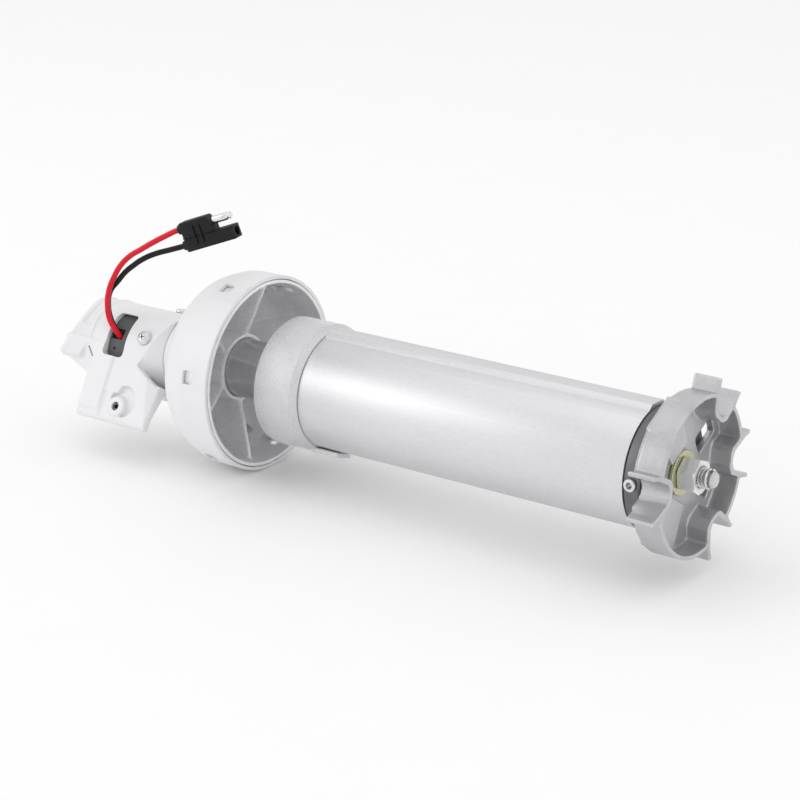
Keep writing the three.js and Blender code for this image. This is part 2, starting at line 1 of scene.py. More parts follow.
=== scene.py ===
import math
import bpy
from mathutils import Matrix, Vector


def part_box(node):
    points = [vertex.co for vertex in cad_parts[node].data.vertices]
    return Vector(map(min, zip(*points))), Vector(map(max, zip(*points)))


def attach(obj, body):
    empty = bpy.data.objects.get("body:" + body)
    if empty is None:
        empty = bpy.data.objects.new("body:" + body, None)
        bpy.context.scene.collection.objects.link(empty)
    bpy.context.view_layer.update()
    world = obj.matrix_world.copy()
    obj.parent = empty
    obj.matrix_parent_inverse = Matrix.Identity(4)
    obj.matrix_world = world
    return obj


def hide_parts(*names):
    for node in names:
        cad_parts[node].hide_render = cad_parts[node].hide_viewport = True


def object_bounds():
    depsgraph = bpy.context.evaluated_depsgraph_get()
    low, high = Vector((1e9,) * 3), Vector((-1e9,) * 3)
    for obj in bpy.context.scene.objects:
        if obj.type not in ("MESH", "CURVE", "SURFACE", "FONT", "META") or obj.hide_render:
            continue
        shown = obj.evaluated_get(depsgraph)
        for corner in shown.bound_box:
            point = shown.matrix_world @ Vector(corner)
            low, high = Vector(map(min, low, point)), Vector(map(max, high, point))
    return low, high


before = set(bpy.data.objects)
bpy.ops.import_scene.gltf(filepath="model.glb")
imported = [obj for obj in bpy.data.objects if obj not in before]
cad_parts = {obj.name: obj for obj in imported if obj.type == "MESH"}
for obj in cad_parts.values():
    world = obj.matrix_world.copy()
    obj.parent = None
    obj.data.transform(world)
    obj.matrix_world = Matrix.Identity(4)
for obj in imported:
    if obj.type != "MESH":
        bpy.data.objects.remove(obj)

cad_low, cad_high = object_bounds()

# ---- Viewpoint and studio ----
# A long lens a little above the motor and off toward its crown end, on a plain pale floor
# that the end cap's rim rests on, under large soft lamps.

camera_data = bpy.data.cameras.new("camera")
camera_data.lens = 105.98
camera_data.sensor_width = 36
camera = bpy.data.objects.new("camera", camera_data)
camera.location = (0.7676, -0.8157, 0.3872)
camera.rotation_euler = (math.radians(70.78), 0, math.radians(35.97))
bpy.context.scene.collection.objects.link(camera)
bpy.context.scene.camera = camera
bpy.context.scene.view_settings.view_transform = "Standard"


def clear_selection():
    bpy.ops.object.select_all(action="DESELECT")


def new_nodes(owner):
    owner.use_nodes = True
    owner.node_tree.nodes.clear()
    return owner.node_tree.nodes, owner.node_tree.links


def studio_lamp(name, place, aim, width, height, power):
    lamp_data = bpy.data.lights.new(name, "AREA")
    lamp_data.shape = "RECTANGLE"
    lamp_data.size, lamp_data.size_y = width, height
    lamp_data.energy = power
    lamp = bpy.data.objects.new(name, lamp_data)
    bpy.context.scene.collection.objects.link(lamp)
    lamp.location = place
    back = camera.location.__class__([a - b for a, b in zip(place, aim)])
    lamp.rotation_euler = back.to_track_quat("Z", "Y").to_euler()
    return lamp


MIDDLE = (0.15, 0.03, 0.02)
studio_lamp("lamp_overhead", (0.05, -0.15, 1.9), MIDDLE, 1.8, 1.2, 2.6)
studio_lamp("lamp_left", (-1.5, -1.3, 0.9), MIDDLE, 1.1, 1.1, 6.5)
studio_lamp("lamp_right", (1.9, 0.1, 0.9), MIDDLE, 0.9, 0.9, 1.5)

world = bpy.data.worlds.new("studio")
bpy.context.scene.world = world
nodes, links = new_nodes(world)
backdrop = nodes.new("ShaderNodeBackground")
backdrop.inputs["Color"].default_value = (1, 1, 1, 1)
backdrop.inputs["Strength"].default_value = 0.9
world_output = nodes.new("ShaderNodeOutputWorld")
links.new(backdrop.outputs["Background"], world_output.inputs["Surface"])

clear_selection()
bpy.ops.mesh.primitive_plane_add(size=12, location=(0.15, 1.5, cad_low.z - 0.0003))
floor = bpy.context.object
floor.name = "studio_floor"
floor_paper = bpy.data.materials.new("floor_paper")
nodes, links = new_nodes(floor_paper)
paper = nodes.new("ShaderNodeBsdfPrincipled")
paper.inputs["Roughness"].default_value = 0.9
paper.inputs["Specular IOR Level"].default_value = 0.1
place = nodes.new("ShaderNodeTexCoord")
mottle = nodes.new("ShaderNodeTexNoise")
mottle.inputs["Scale"].default_value = 30
tone = nodes.new("ShaderNodeMix")
tone.data_type = "RGBA"
tone.inputs[6].default_value = (0.965, 0.965, 0.967, 1)
tone.inputs[7].default_value = (0.98, 0.98, 0.98, 1)
paper_output = nodes.new("ShaderNodeOutputMaterial")
links.new(place.outputs["Object"], mottle.inputs["Vector"])
links.new(mottle.outputs["Fac"], tone.inputs[0])
links.new(tone.outputs[2], paper.inputs["Base Color"])
links.new(paper.outputs["BSDF"], paper_output.inputs["Surface"])
floor.data.materials.append(floor_paper)

# ---- Red and black leads ----
# Two PVC insulated copper leads of 2.8 mm, pushed through the head's window and down the
# hollow neck to the brushes. They arch up and over to one two-pole connector.

MM = 0.001


def shader_group(name, inputs, outputs):
    group = bpy.data.node_groups.new(name, "ShaderNodeTree")
    for socket, kind in inputs:
        group.interface.new_socket(socket, in_out="INPUT", socket_type=kind)
    for socket in outputs:
        group.interface.new_socket(socket, in_out="OUTPUT", socket_type="NodeSocketFloat")
    return group, group.nodes.new("NodeGroupInput"), group.nodes.new("NodeGroupOutput")


def make_surface_grain():
    """Fine grain, and broad soft patches, from positions in metres."""
    group, given, result = shader_group(
        "surface_grain",
        [("Position", "NodeSocketVector"), ("Grain", "NodeSocketFloat"), ("Patches", "NodeSocketFloat")],
        ["Grain", "Patches"])
    for socket, detail in (("Grain", 3), ("Patches", 4)):
        noise = group.nodes.new("ShaderNodeTexNoise")
        noise.inputs["Detail"].default_value = detail
        group.links.new(given.outputs["Position"], noise.inputs["Vector"])
        group.links.new(given.outputs[socket], noise.inputs["Scale"])
        spread = group.nodes.new("ShaderNodeMapRange")
        spread.inputs["From Min"].default_value = 0.32
        spread.inputs["From Max"].default_value = 0.68
        group.links.new(noise.outputs["Fac"], spread.inputs["Value"])
        group.links.new(spread.outputs["Result"], result.inputs[socket])
    return group


def make_edge_wear():
    """Where a piece's outer edges are rubbed, broken up by patches."""
    group, given, result = shader_group(
        "edge_wear",
        [("Patches", "NodeSocketFloat"), ("Amount", "NodeSocketFloat")],
        ["Wear"])
    shape = group.nodes.new("ShaderNodeNewGeometry")
    edge = group.nodes.new("ShaderNodeMapRange")
    edge.inputs["From Min"].default_value = 0.515
    edge.inputs["From Max"].default_value = 0.6
    group.links.new(shape.outputs["Pointiness"], edge.inputs["Value"])
    broken = group.nodes.new("ShaderNodeMath")
    broken.operation = "MULTIPLY"
    group.links.new(edge.outputs["Result"], broken.inputs[0])
    group.links.new(given.outputs["Patches"], broken.inputs[1])
    scaled = group.nodes.new("ShaderNodeMath")
    scaled.operation = "MULTIPLY"
    scaled.use_clamp = True
    group.links.new(broken.outputs["Value"], scaled.inputs[0])
    group.links.new(given.outputs["Amount"], scaled.inputs[1])
    group.links.new(scaled.outputs["Value"], result.inputs["Wear"])
    return group


SURFACE_GRAIN = make_surface_grain()
EDGE_WEAR = make_edge_wear()


def placed_group(material, group, **values):
    node = material.node_tree.nodes.new("ShaderNodeGroup")
    node.node_tree = group
    for socket, value in values.items():
        node.inputs[socket].default_value = value
    return node


def finish(name, colour, roughness, metallic=0.0, grain=1500, patches=60, shade=0.05,
           gloss_shift=0.05, relief=0.15, depth=0.00004, stretch=(1, 1, 1), wear=0.0,
           worn_colour=(0.8, 0.8, 0.8), speckle=0.5, specular=0.5):
    """A surface whose colour, gloss and relief all vary a little, as the real finish does."""
    material = bpy.data.materials.new(name)
    nodes, links = new_nodes(material)
    shader = nodes.new("ShaderNodeBsdfPrincipled")
    shader.inputs["Metallic"].default_value = metallic
    shader.inputs["Specular IOR Level"].default_value = specular
    where = nodes.new("ShaderNodeTexCoord")
    turned = nodes.new("ShaderNodeMapping")
    turned.inputs["Scale"].default_value = stretch
    links.new(where.outputs["Object"], turned.inputs["Vector"])
    pattern = placed_group(material, SURFACE_GRAIN, Grain=grain, Patches=patches)
    links.new(turned.outputs["Vector"], pattern.inputs["Position"])
    both = nodes.new("ShaderNodeMix")
    both.inputs[0].default_value = speckle
    links.new(pattern.outputs["Patches"], both.inputs[2])
    links.new(pattern.outputs["Grain"], both.inputs[3])
    tone = nodes.new("ShaderNodeMix")
    tone.data_type = "RGBA"
    tone.inputs[6].default_value = (*[c * (1 - shade) for c in colour], 1)
    tone.inputs[7].default_value = (*[min(1, c * (1 + shade)) for c in colour], 1)
    links.new(both.outputs[0], tone.inputs[0])
    colour_out = tone.outputs[2]
    if wear:
        rubbed = placed_group(material, EDGE_WEAR, Amount=wear)
        links.new(pattern.outputs["Patches"], rubbed.inputs["Patches"])
        worn = nodes.new("ShaderNodeMix")
        worn.data_type = "RGBA"
        worn.inputs[7].default_value = (*worn_colour, 1)
        links.new(rubbed.outputs["Wear"], worn.inputs[0])
        links.new(colour_out, worn.inputs[6])
        colour_out = worn.outputs[2]
    links.new(colour_out, shader.inputs["Base Color"])
    gloss = nodes.new("ShaderNodeMapRange")
    gloss.inputs["To Min"].default_value = max(0.02, roughness - gloss_shift)
    gloss.inputs["To Max"].default_value = roughness + gloss_shift
    links.new(both.outputs[0], gloss.inputs["Value"])
    links.new(gloss.outputs["Result"], shader.inputs["Roughness"])
    bump = nodes.new("ShaderNodeBump")
    bump.inputs["Strength"].default_value = relief
    bump.inputs["Distance"].default_value = depth
    links.new(pattern.outputs["Grain"], bump.inputs["Height"])
    links.new(bump.outputs["Normal"], shader.inputs["Normal"])
    output = nodes.new("ShaderNodeOutputMaterial")
    links.new(shader.outputs["BSDF"], output.inputs["Surface"])
    return material


def give_finish(piece, material):
    if len(piece.material_slots):
        piece.material_slots[0].material = material
    else:
        piece.data.materials.append(material)


def install(piece, material, body, slot_name, *nodes_replaced):
    """Gives a finished piece its surface and its body, in place of the plain solids."""
    piece.data.materials.clear()
    piece.data.materials.append(material)
    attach(piece, body)
    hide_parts(*nodes_replaced)


RED_ROUTE = [
    (8.5, 23.6, 23.8), (-0.5, 23.0, 23.9), (-6.9, 18.2, 23.6), (-8.4, 12.7, 30.1),
    (-10.6, 9.7, 37.4), (-11.4, 9.2, 45.2), (-9.9, 9.2, 53.2), (-6.6, 9.7, 60.4),
    (-2.5, 10.7, 67.1), (2.8, 11.7, 72.3), (8.7, 12.7, 76.1), (15.4, 14.2, 80.4),
    (22.2, 16.8, 84.5), (27.8, 18.5, 87.6), (29.7, 19.0, 88.3), (31.6, 19.4, 89.0),
]
BLACK_ROUTE = [
    (8.5, 22.4, 20.6), (-1.5, 21.6, 20.5), (-9.0, 19.4, 20.6), (-10.6, 16.0, 28.0),
    (-12.4, 12.6, 36.3), (-13.4, 12.0, 44.1), (-11.7, 12.0, 51.6), (-6.8, 12.7, 57.6),
    (-2.4, 13.2, 62.6), (2.7, 13.7, 66.8), (8.6, 14.7, 71.0), (15.3, 16.2, 74.4),
    (23.6, 17.8, 77.4), (30.6, 19.2, 79.9), (32.5, 19.7, 80.6), (34.4, 20.1, 81.4),
]
LEAD_DIAMETER = 0.0028


def lead(name, route, material):
    """An insulated lead drawn along its route. Gives the curve and its length."""
    line = bpy.data.curves.new(name, "CURVE")
    line.dimensions = "3D"
    line.resolution_u = 10
    line.bevel_depth = LEAD_DIAMETER / 2
    line.bevel_resolution = 6
    line.use_fill_caps = True
    spline = line.splines.new("BEZIER")
    spline.bezier_points.add(len(route) - 1)
    for knot, at in zip(spline.bezier_points, route):
        knot.co = [v * MM for v in at]
        knot.handle_left_type = knot.handle_right_type = "AUTO"
    piece = bpy.data.objects.new(name, line)
    bpy.context.scene.collection.objects.link(piece)
    length = spline.calc_length()
    hue = name.replace("lead_", "")
    install(piece, material, "motor_body", hue + "_pvc", hue + "_lead")
    return piece, length


red_pvc = finish("red_pvc", (0.68, 0.010, 0.026), 0.34, grain=900, patches=120, shade=0.10,
                 gloss_shift=0.06, relief=0.12, depth=0.00005, specular=0.22)
black_pvc = finish("black_pvc", (0.008, 0.008, 0.009), 0.4, grain=900, patches=120, shade=0.3,
                   gloss_shift=0.08, relief=0.12, depth=0.00005, specular=0.2)
lead_red, red_length = lead("lead_red", RED_ROUTE, red_pvc)
lead_black, black_length = lead("lead_black", BLACK_ROUTE, black_pvc)

# ---- Connector ----
# A moulded black housing on the ends of the leads: the red lead's pole ends in a bare plated
# pin, the black lead's in a longer shrouded socket. Two grip ribs stand across its face.

CONNECTOR_AT = (30.6, 19.2, 84.3)
CONNECTOR_PITCH_DEG = 20.5
CONNECTOR_YAW_DEG = 13.7
POLE_OFFSET = 4.1


def pick(piece):
    """Makes a piece the only thing that an operator works on."""
    clear_selection()
    piece.select_set(True)
    bpy.context.view_layer.objects.active = piece


def apply_place(piece):
    pick(piece)
    bpy.ops.object.transform_apply(location=True, rotation=True, scale=True)


def block(name, x, y, z):
    """A squared blank between two positions along each axis, in mm."""
    clear_selection()
    spans = (x, y, z)
    bpy.ops.mesh.primitive_cube_add(
        size=1, location=[(a + b) / 2 * MM for a, b in spans], scale=[(b - a) * MM for a, b in spans])
    piece = bpy.context.object
    piece.name = name
    apply_place(piece)
    return piece


def rod(name, start, end, radius, sides=32, end_radius=None):
    """A round blank from one point to another, in mm, tapering if it has an end radius."""
    clear_selection()
    start, end = [camera.location.__class__(p) * MM for p in (start, end)]
    along = end - start
    bpy.ops.mesh.primitive_cone_add(
        vertices=sides, radius1=radius * MM, radius2=(radius if end_radius is None else end_radius) * MM,
        depth=along.length, location=(start + end) / 2,
        rotation=along.to_track_quat("Z", "Y").to_euler())
    piece = bpy.context.object
    piece.name = name
    apply_place(piece)
    return piece


def with_modifier(piece, kind, **settings):
    pick(piece)
    bpy.ops.object.modifier_add(type=kind)
    modifier = piece.modifiers[-1]
    for key, value in settings.items():
        setattr(modifier, key, value)
    bpy.ops.object.modifier_apply(modifier=modifier.name)
    return piece


def add_to(piece, *others):
    for other in others:
        with_modifier(piece, "BOOLEAN", operation="UNION", solver="MANIFOLD", object=other)
        bpy.data.objects.remove(other)
    return piece


def cut_from(piece, *tools):
    for tool in tools:
        with_modifier(piece, "BOOLEAN", operation="DIFFERENCE", solver="MANIFOLD", object=tool)
        bpy.data.objects.remove(tool)
    return piece


def gather(piece, *others):
    """Joins separate bodies into one object as they are."""
    pick(piece)
    for other in others:
        other.select_set(True)
    bpy.ops.object.join()
    return piece


def round_edges(piece, width, segments=3, over_degrees=30):
    return with_modifier(piece, "BEVEL", width=width * MM, segments=segments, limit_method="ANGLE",
                         angle_limit=math.radians(over_degrees), use_clamp_overlap=True)


def shade(piece, degrees=34):
    pick(piece)
    bpy.ops.object.shade_smooth_by_angle(angle=math.radians(degrees))
    return piece


def cast_skin(piece, grid, passes):
    """The soft, filleted skin of a casting or moulding over its built-up shape."""
    with_modifier(piece, "REMESH", mode="VOXEL", voxel_size=grid * MM, use_smooth_shade=True)
    with_modifier(piece, "SMOOTH", factor=0.5, iterations=passes)
    pick(piece)
    bpy.ops.object.shade_smooth()
    return piece


def lay_on_lead(piece):
    piece.rotation_euler = (0, -math.radians(CONNECTOR_PITCH_DEG), math.radians(CONNECTOR_YAW_DEG))
    piece.location = [v * MM for v in CONNECTOR_AT]
    apply_place(piece)


housing = block("connector_housing", (2.5, 30.5), (-3.7, 3.7), (-7.4, -0.6))
upper_half = block("upper_half", (2.5, 20), (-3.7, 3.7), (-1, 7.4))
add_to(housing, upper_half)
corner = block("corner", (-3, 3), (-6, 6), (-3, 3))
corner.rotation_euler = (0, math.radians(56), 0)
corner.location = (20.9 * MM, 0, 7.6 * MM)
apply_place(corner)
cut_from(housing, corner)
round_edges(housing, 0.55, 3, 40)
for pole in (POLE_OFFSET, -POLE_OFFSET):
    collar = rod("collar", (0, 0, pole), (3.5, 0, pole), 2.45, 40, 2.75)
    round_edges(collar, 0.35, 2, 40)
    add_to(housing, collar)
    cut_from(housing, rod("lead_bore", (-2, 0, pole), (3.2, 0, pole), 1.55, 32))
for along in (9, 12.6):
    rib = block("grip_rib", (along, along + 0.8), (-4.15, -3.2), (-4.3, 4.3))
    round_edges(rib, 0.22, 2, 40)
    add_to(housing, rib)
    cut_from(housing, block("rib_trench", (along + 0.95, along + 1.7), (-4.2, -3.35), (-4.5, 4.5)))
cut_from(housing, rod("socket_mouth", (21, 0, -POLE_OFFSET), (33, 0, -POLE_OFFSET), 2.2, 40))
shade(housing, 30)
lay_on_lead(housing)
black_housing = finish("black_housing", (0.010, 0.010, 0.011), 0.5, grain=2600, patches=160, shade=0.22,
                       gloss_shift=0.08, relief=0.25, depth=0.00006, wear=0.35, worn_colour=(0.05, 0.05, 0.055),
                       specular=0.22)
install(housing, black_housing, "motor_body", "black_rubber", "connector_body")


def clean_normals():
    bpy.ops.mesh.select_all(action="SELECT")
    bpy.ops.mesh.remove_doubles(threshold=1e-6)
    bpy.ops.mesh.normals_make_consistent(inside=False)


def start_outline(name, points):
    """A line of edges through points in mm, left selected in edit mode."""
    clear_selection()
    bpy.ops.mesh.primitive_plane_add(size=0.001, location=[v * MM for v in points[0]])
    piece = bpy.context.object
    piece.name = name
    apply_place(piece)
    bpy.ops.object.mode_set(mode="EDIT")
    bpy.ops.mesh.select_mode(type="VERT")
    bpy.ops.mesh.select_all(action="SELECT")
    bpy.ops.mesh.merge(type="CENTER")
    for here, there in zip(points, points[1:]):
        step = [(b - a) * MM for a, b in zip(here, there)]
        bpy.ops.mesh.extrude_region_move(TRANSFORM_OT_translate={"value": step})
    return piece


def turned(name, profile, steps=128):
    """A part turned about the X axis from a closed profile of (along, radius) in mm."""
    line = [(x, 0, r) for x, r in profile]
    if profile[0][1] > 0:
        line.append(line[0])
    piece = start_outline(name, line)
    bpy.ops.mesh.select_all(action="SELECT")
    bpy.ops.mesh.spin(steps=steps, angle=math.tau, center=(0, 0, 0), axis=(1, 0, 0))
    clean_normals()
    bpy.ops.object.mode_set(mode="OBJECT")
    return piece


pin = turned("connector_pin_plated", [
    (20.3, 0), (20.3, 2), (24, 2), (27.2, 2), (27.7, 1.9), (28.4, 1.45), (28.9, 1.5), (29.4, 1.85),
    (30.0, 1.6), (30.45, 0.9), (30.6, 0)], 40)
cut_from(pin, block("pin_slit", (25.4, 31), (-3, 3), (-0.22, 0.22)))
pin.location = (0, 0, POLE_OFFSET * MM)
apply_place(pin)
shade(pin, 40)
lay_on_lead(pin)
plated = finish("plated_pin", (0.78, 0.78, 0.77), 0.22, metallic=1.0, grain=2500, patches=200, shade=0.08,
                gloss_shift=0.06, relief=0.08)
install(pin, plated, "motor_body", "pin_metal", "connector_pin")

# ---- Arm head ----
# A zinc or aluminium casting in white powder coat that screws to the end of the awning arm: a
# round barrel with a lead window, a skirt toward the cap, a flared wing behind it and a flat
# leg below with the arm's clamping screw. It leans 30 degrees about the motor axis.

neck_low, neck_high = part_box("motor_neck")
AXIS_Y, AXIS_Z = (neck_low.y + neck_high.y) / 2, (neck_low.z + neck_high.z) / 2
HEAD_LEAN_DEG = -30


def set_on_axis(piece, turn_degrees=0):
    """Moves a piece made about the X axis onto the motor axis."""
    piece.rotation_euler = (math.radians(turn_degrees), 0, 0)
    piece.location = (0, AXIS_Y, AXIS_Z)
    apply_place(piece)
    return piece


def turn_by(piece, degrees):
    """Turns a piece about the X axis before it is put in place."""
    piece.rotation_euler = (math.radians(degrees), 0, 0)
    apply_place(piece)
    return piece


def pushed(name, outline, x0, x1):
    """An outline of (y, z) points in mm pushed along X."""
    piece = start_outline(name, [(x0, y, z) for y, z in outline])
    bpy.ops.mesh.select_all(action="SELECT")
    bpy.ops.mesh.edge_face_add()
    bpy.ops.mesh.extrude_region_move(TRANSFORM_OT_translate={"value": ((x1 - x0) * MM, 0, 0)})
    clean_normals()
    bpy.ops.object.mode_set(mode="OBJECT")
    return piece


def trimmed(piece, at, outward):
    """Cuts a closed body off square to a direction, at a place in mm, and closes it again."""
    pick(piece)
    bpy.ops.object.mode_set(mode="EDIT")
    bpy.ops.mesh.select_all(action="SELECT")
    bpy.ops.mesh.bisect(plane_co=[v * MM for v in at], plane_no=outward, clear_outer=True, use_fill=True)
    bpy.ops.object.mode_set(mode="OBJECT")
    return piece


def moved_where(piece, test, step):
    """Moves the vertices that pass a test by a step in mm."""
    select_where(piece, test)
    bpy.ops.transform.translate(value=[v * MM for v in step])
    bpy.ops.object.mode_set(mode="OBJECT")
    return piece


def select_where(piece, test, kind="verts"):
    """Selects only the vertices or faces that pass a test, and goes into edit mode."""
    pick(piece)
    bpy.ops.object.mode_set(mode="EDIT")
    bpy.ops.mesh.select_mode(type="FACE" if kind == "faces" else "VERT")
    bpy.ops.mesh.select_all(action="DESELECT")
    bpy.ops.object.mode_set(mode="OBJECT")
    for part in (piece.data.polygons if kind == "faces" else piece.data.vertices):
        part.select = test(part)
    bpy.ops.object.mode_set(mode="EDIT")


# y is minus the distance toward the leg's front, z is the distance toward the head's top.
BARREL_R = 22.5
BARREL_DROP = 3.5
BARREL_END_AT = (9.8, 0, -15)
BARREL_END_OUTWARD = (0.925, 0, -0.381)
SKIRT_END_X = 20.8
SKIRT_R = 18.6
head = trimmed(rod("arm_head_casting", (-25, 0, -BARREL_DROP), (26, 0, -BARREL_DROP), BARREL_R, 128),
               BARREL_END_AT, BARREL_END_OUTWARD)
select_where(head, lambda face: face.normal.x > 0.5, "faces")
bpy.ops.mesh.extrude_region_move(TRANSFORM_OT_translate={"value": (9 * MM, 0, 0)})
bpy.ops.transform.resize(value=(0, 1, 1), center_override=(SKIRT_END_X * MM, 0, 0))
bpy.ops.transform.resize(value=(1, SKIRT_R / BARREL_R, SKIRT_R / BARREL_R),
                         center_override=(SKIRT_END_X * MM, 0, -BARREL_DROP * MM))
bpy.ops.transform.translate(value=(0, 0, BARREL_DROP * MM))
bpy.ops.object.mode_set(mode="OBJECT")
cut_from(head, block("under", (-60, 60), (-17.5, 40), (-70, -24.5)))
saddle = trimmed(block("saddle", (-19, 14), (-22, 17), (-30, -8)), BARREL_END_AT, BARREL_END_OUTWARD)
cut_from(saddle, block("under", (-60, 60), (-17.5, 40), (-70, -24.5)))

LEG_SCREW_X = 5.5
leg = pushed("leg", [
    (-22, 0), (-22, -42.5), (-21.6, -44), (-20.4, -45), (-17.5, -45), (-17.5, 0)], -19, 26)
relief = moved_where(block("leg_relief", (9, 30), (-30, -10), (-13.5, 5)),
                     lambda v: v.co.x > 0.02 and v.co.z < 0, (0, 0, -12))
cut_from(leg, relief)
trimmed(leg, (19, -22, -19), (0.444, -0.888, 0.124))
crescent = rod("crescent", (8.4, -19.7, -33.4), (8.4, -30, -33.4), 8, 48)
cut_from(crescent, rod("boss_kept", (LEG_SCREW_X, -15, -36.5), (LEG_SCREW_X, -40, -36.5), 5.4, 48))
cut_from(leg, block("leg_slot", (1.6, 3.8), (-24, -19.5), (-28.7, -21.6)),
         rod("leg_groove", (-3.4, -23.2, -14), (-3.4, -23.2, -60), 1.9, 32), crescent)
bulge = pushed("leg_bulge", [
    (-22, -1), (-22.9, -8), (-23.1, -24), (-22.6, -40), (-21, -43), (-20, -1)], -19, -5.2)
round_edges(bulge, 0.9, 4, 40)
side_gusset = moved_where(block("side_gusset", (-19, -15.5), (-18.5, -7), (-37, -20)),
                          lambda v: v.co.z < -0.03 and v.co.y > -0.01, (0, -9, 0))
end_gusset = moved_where(block("end_gusset", (22.6, 26), (-19, -12.2), (-41, -21.5)),
                         lambda v: v.co.z < -0.03 and v.co.y > -0.015, (0, -6, 0))
boss = rod("screw_boss", (LEG_SCREW_X, -18, -36.5), (LEG_SCREW_X, -22.9, -36.5), 5.4, 48, 5.0)
round_edges(boss, 0.5, 3, 40)
gather(head, saddle, leg, bulge, side_gusset, end_gusset, boss)

wing_line = [(25.5, -16.5), (22.8, -8.6), (18.4, 0.5), (14.6, 8), (10, 14.4), (5, 17.8), (0, 19)]
wing_inside = [(0, 15.8), (3.8, 14.9), (7.8, 11.9), (11.9, 6.2), (15.4, -1), (19.6, -9.8), (22.2, -18)]


def both_sides(outer, inner):
    """A wall's outline from the half on one side of the head."""
    line = list(outer) + [(-n, w) for n, w in outer[-2::-1]]
    return line + [(-n, w) for n, w in inner[:0:-1]] + list(inner)


wing = pushed("wing", both_sides(wing_line, wing_inside), -38, -24.5)
rim_line = [(n * 1.0 + 0.7 * (n > 0.1), w + 0.7) for n, w in wing_line]
rim = pushed("wing_rim", both_sides(rim_line, wing_inside), -38, -35)
shelf_outer = [(n + 0.45, w + 0.35) for n, w in wing_line[:3]]
shelf = pushed("wing_shelf", shelf_outer + [(17, 0), (23.5, -16.9)], -38, -25)
mirror_shelf = pushed("wing_shelf_far", [(-n, w) for n, w in shelf_outer + [(17, 0), (23.5, -16.9)]], -38, -25)
collar = turned("barrel_collar", [
    (-26, 19), (-26, 22.6), (-25.3, 23.1), (-23.8, 23.1), (-23.2, 22.4), (-23.2, 19)], 96)
collar.location = (0, 0, -BARREL_DROP * MM)
apply_place(collar)
cut_from(collar, block("collar_under", (-40, 0), (-40, 40), (-60, -20)))
gather(head, wing, rim, shelf, mirror_shelf, collar)
# The wing's lower corners run down to the top of the leg.
for side in (-1, 1):
    foot = block("wing_foot", (-37.4, -16), sorted((side * 22, side * 24.8)), (-16.2, -6))
    moved_where(foot, lambda v: v.co.x > -0.02, (0, -side * 2.4, 0))
    moved_where(foot, lambda v: v.co.x > -0.02 and v.co.z < -0.01, (0, 0, -8.5))
    gather(head, foot)

# The barrel's underside runs on past the skirt as a thin lip, cut off on a slant.
lip = turned("skirt_lip", [(2, 20.2), (2, BARREL_R), (23.2, BARREL_R), (23.2, 20.2)], 128)
lip.location = (0, 0, -BARREL_DROP * MM)
apply_place(lip)
trimmed(lip, BARREL_END_AT, (0.533, 0, 0.846))
cut_from(lip, block("lip_under", (-60, 60), (-17.5, 40), (-70, -24.5)))
gather(head, lip)
cast_skin(head, 0.42, 5)

window = block("window_cut", (-13.5, -1), (-40, -3.7), (-12.5, 10.5))
with_modifier(window, "BEVEL", width=2.2 * MM, segments=6, limit_method="ANGLE", angle_limit=math.radians(60),
              affect="EDGES")
slit = block("parting_slit", (-0.45, 0.45), (-26, -20.6), (-3.2, 3.2))
slit.rotation_euler = (0, math.radians(-42), 0)
slit.location = (-20.7 * MM, 0, -12.7 * MM)
apply_place(slit)
cut_from(head, rod("set_hole", (LEG_SCREW_X, -8, -36.5), (LEG_SCREW_X, -28, -36.5), 2.3, 32), slit,
         turned("neck_socket", [(-1.2, 0), (-1.2, 14.8), (23, 14.8), (23, 0)], 96),
         window,
         rod("top_screw_seat", (10, 0, 18.9), (10, 0, 30), 3.9, 40),
         rod("side_screw_seat", (10, -22.2, 0), (10, -30, 0), 3.9, 40))
shade(head, 42)
set_on_axis(head, HEAD_LEAN_DEG)
white_paint = finish("white_powder_coat", (0.80, 0.80, 0.815), 0.42, grain=1300, patches=35, shade=0.018,
                     gloss_shift=0.05, relief=0.22, depth=0.00005, speckle=0.35, wear=0.10,
                     worn_colour=(0.7, 0.7, 0.7))
install(head, white_paint, "motor_body", "white_paint", "arm_head")

# The window's floor is a separate dark plastic plate, curved like the barrel, with a slot that
# the leads come out through and one blind hole.
plate = turned("lead_plate", [(-13.3, 17.3), (-13.3, 20.3), (-1.2, 20.3), (-1.2, 17.3)], 128)
plate.location = (0, 0, -BARREL_DROP * MM)
apply_place(plate)
plate_blank = block("plate_blank", (-20, 10), (-30, -5), (-12.3, 10.3))
with_modifier(plate, "BOOLEAN", operation="INTERSECT", solver="MANIFOLD", object=plate_blank)
bpy.data.objects.remove(plate_blank)
cut_from(plate, rod("blind_hole", (-9.2, -17.6, -8.2), (-9.2, -22, -8.2), 0.8, 24),
         block("lead_slot", (-12.8, -5.6), (-24, -10), (-3.4, 2)))
round_edges(plate, 0.2, 2)
shade(plate)
set_on_axis(plate, HEAD_LEAN_DEG)
dark_plate = finish("dark_moulded_plate", (0.115, 0.124, 0.124), 0.65, grain=2200, patches=90, shade=0.12,
                    gloss_shift=0.08, relief=0.2, wear=0.2, worn_colour=(0.2, 0.2, 0.21), specular=0.08)
install(plate, dark_plate, "motor_body", "dark_plastic", "window_plate")

# ---- Head screws ----
# Two zinc-plated cross-head pan screws through the barrel into the neck, a quarter turn apart,
# and the hex-socket set screw in the leg's boss that clamps the arm.

bright_zinc = finish("bright_zinc", (0.70, 0.71, 0.72), 0.32, metallic=1.0, grain=1800, patches=220, shade=0.1,
                     gloss_shift=0.08, relief=0.12, wear=0.3, worn_colour=(0.9, 0.9, 0.88))


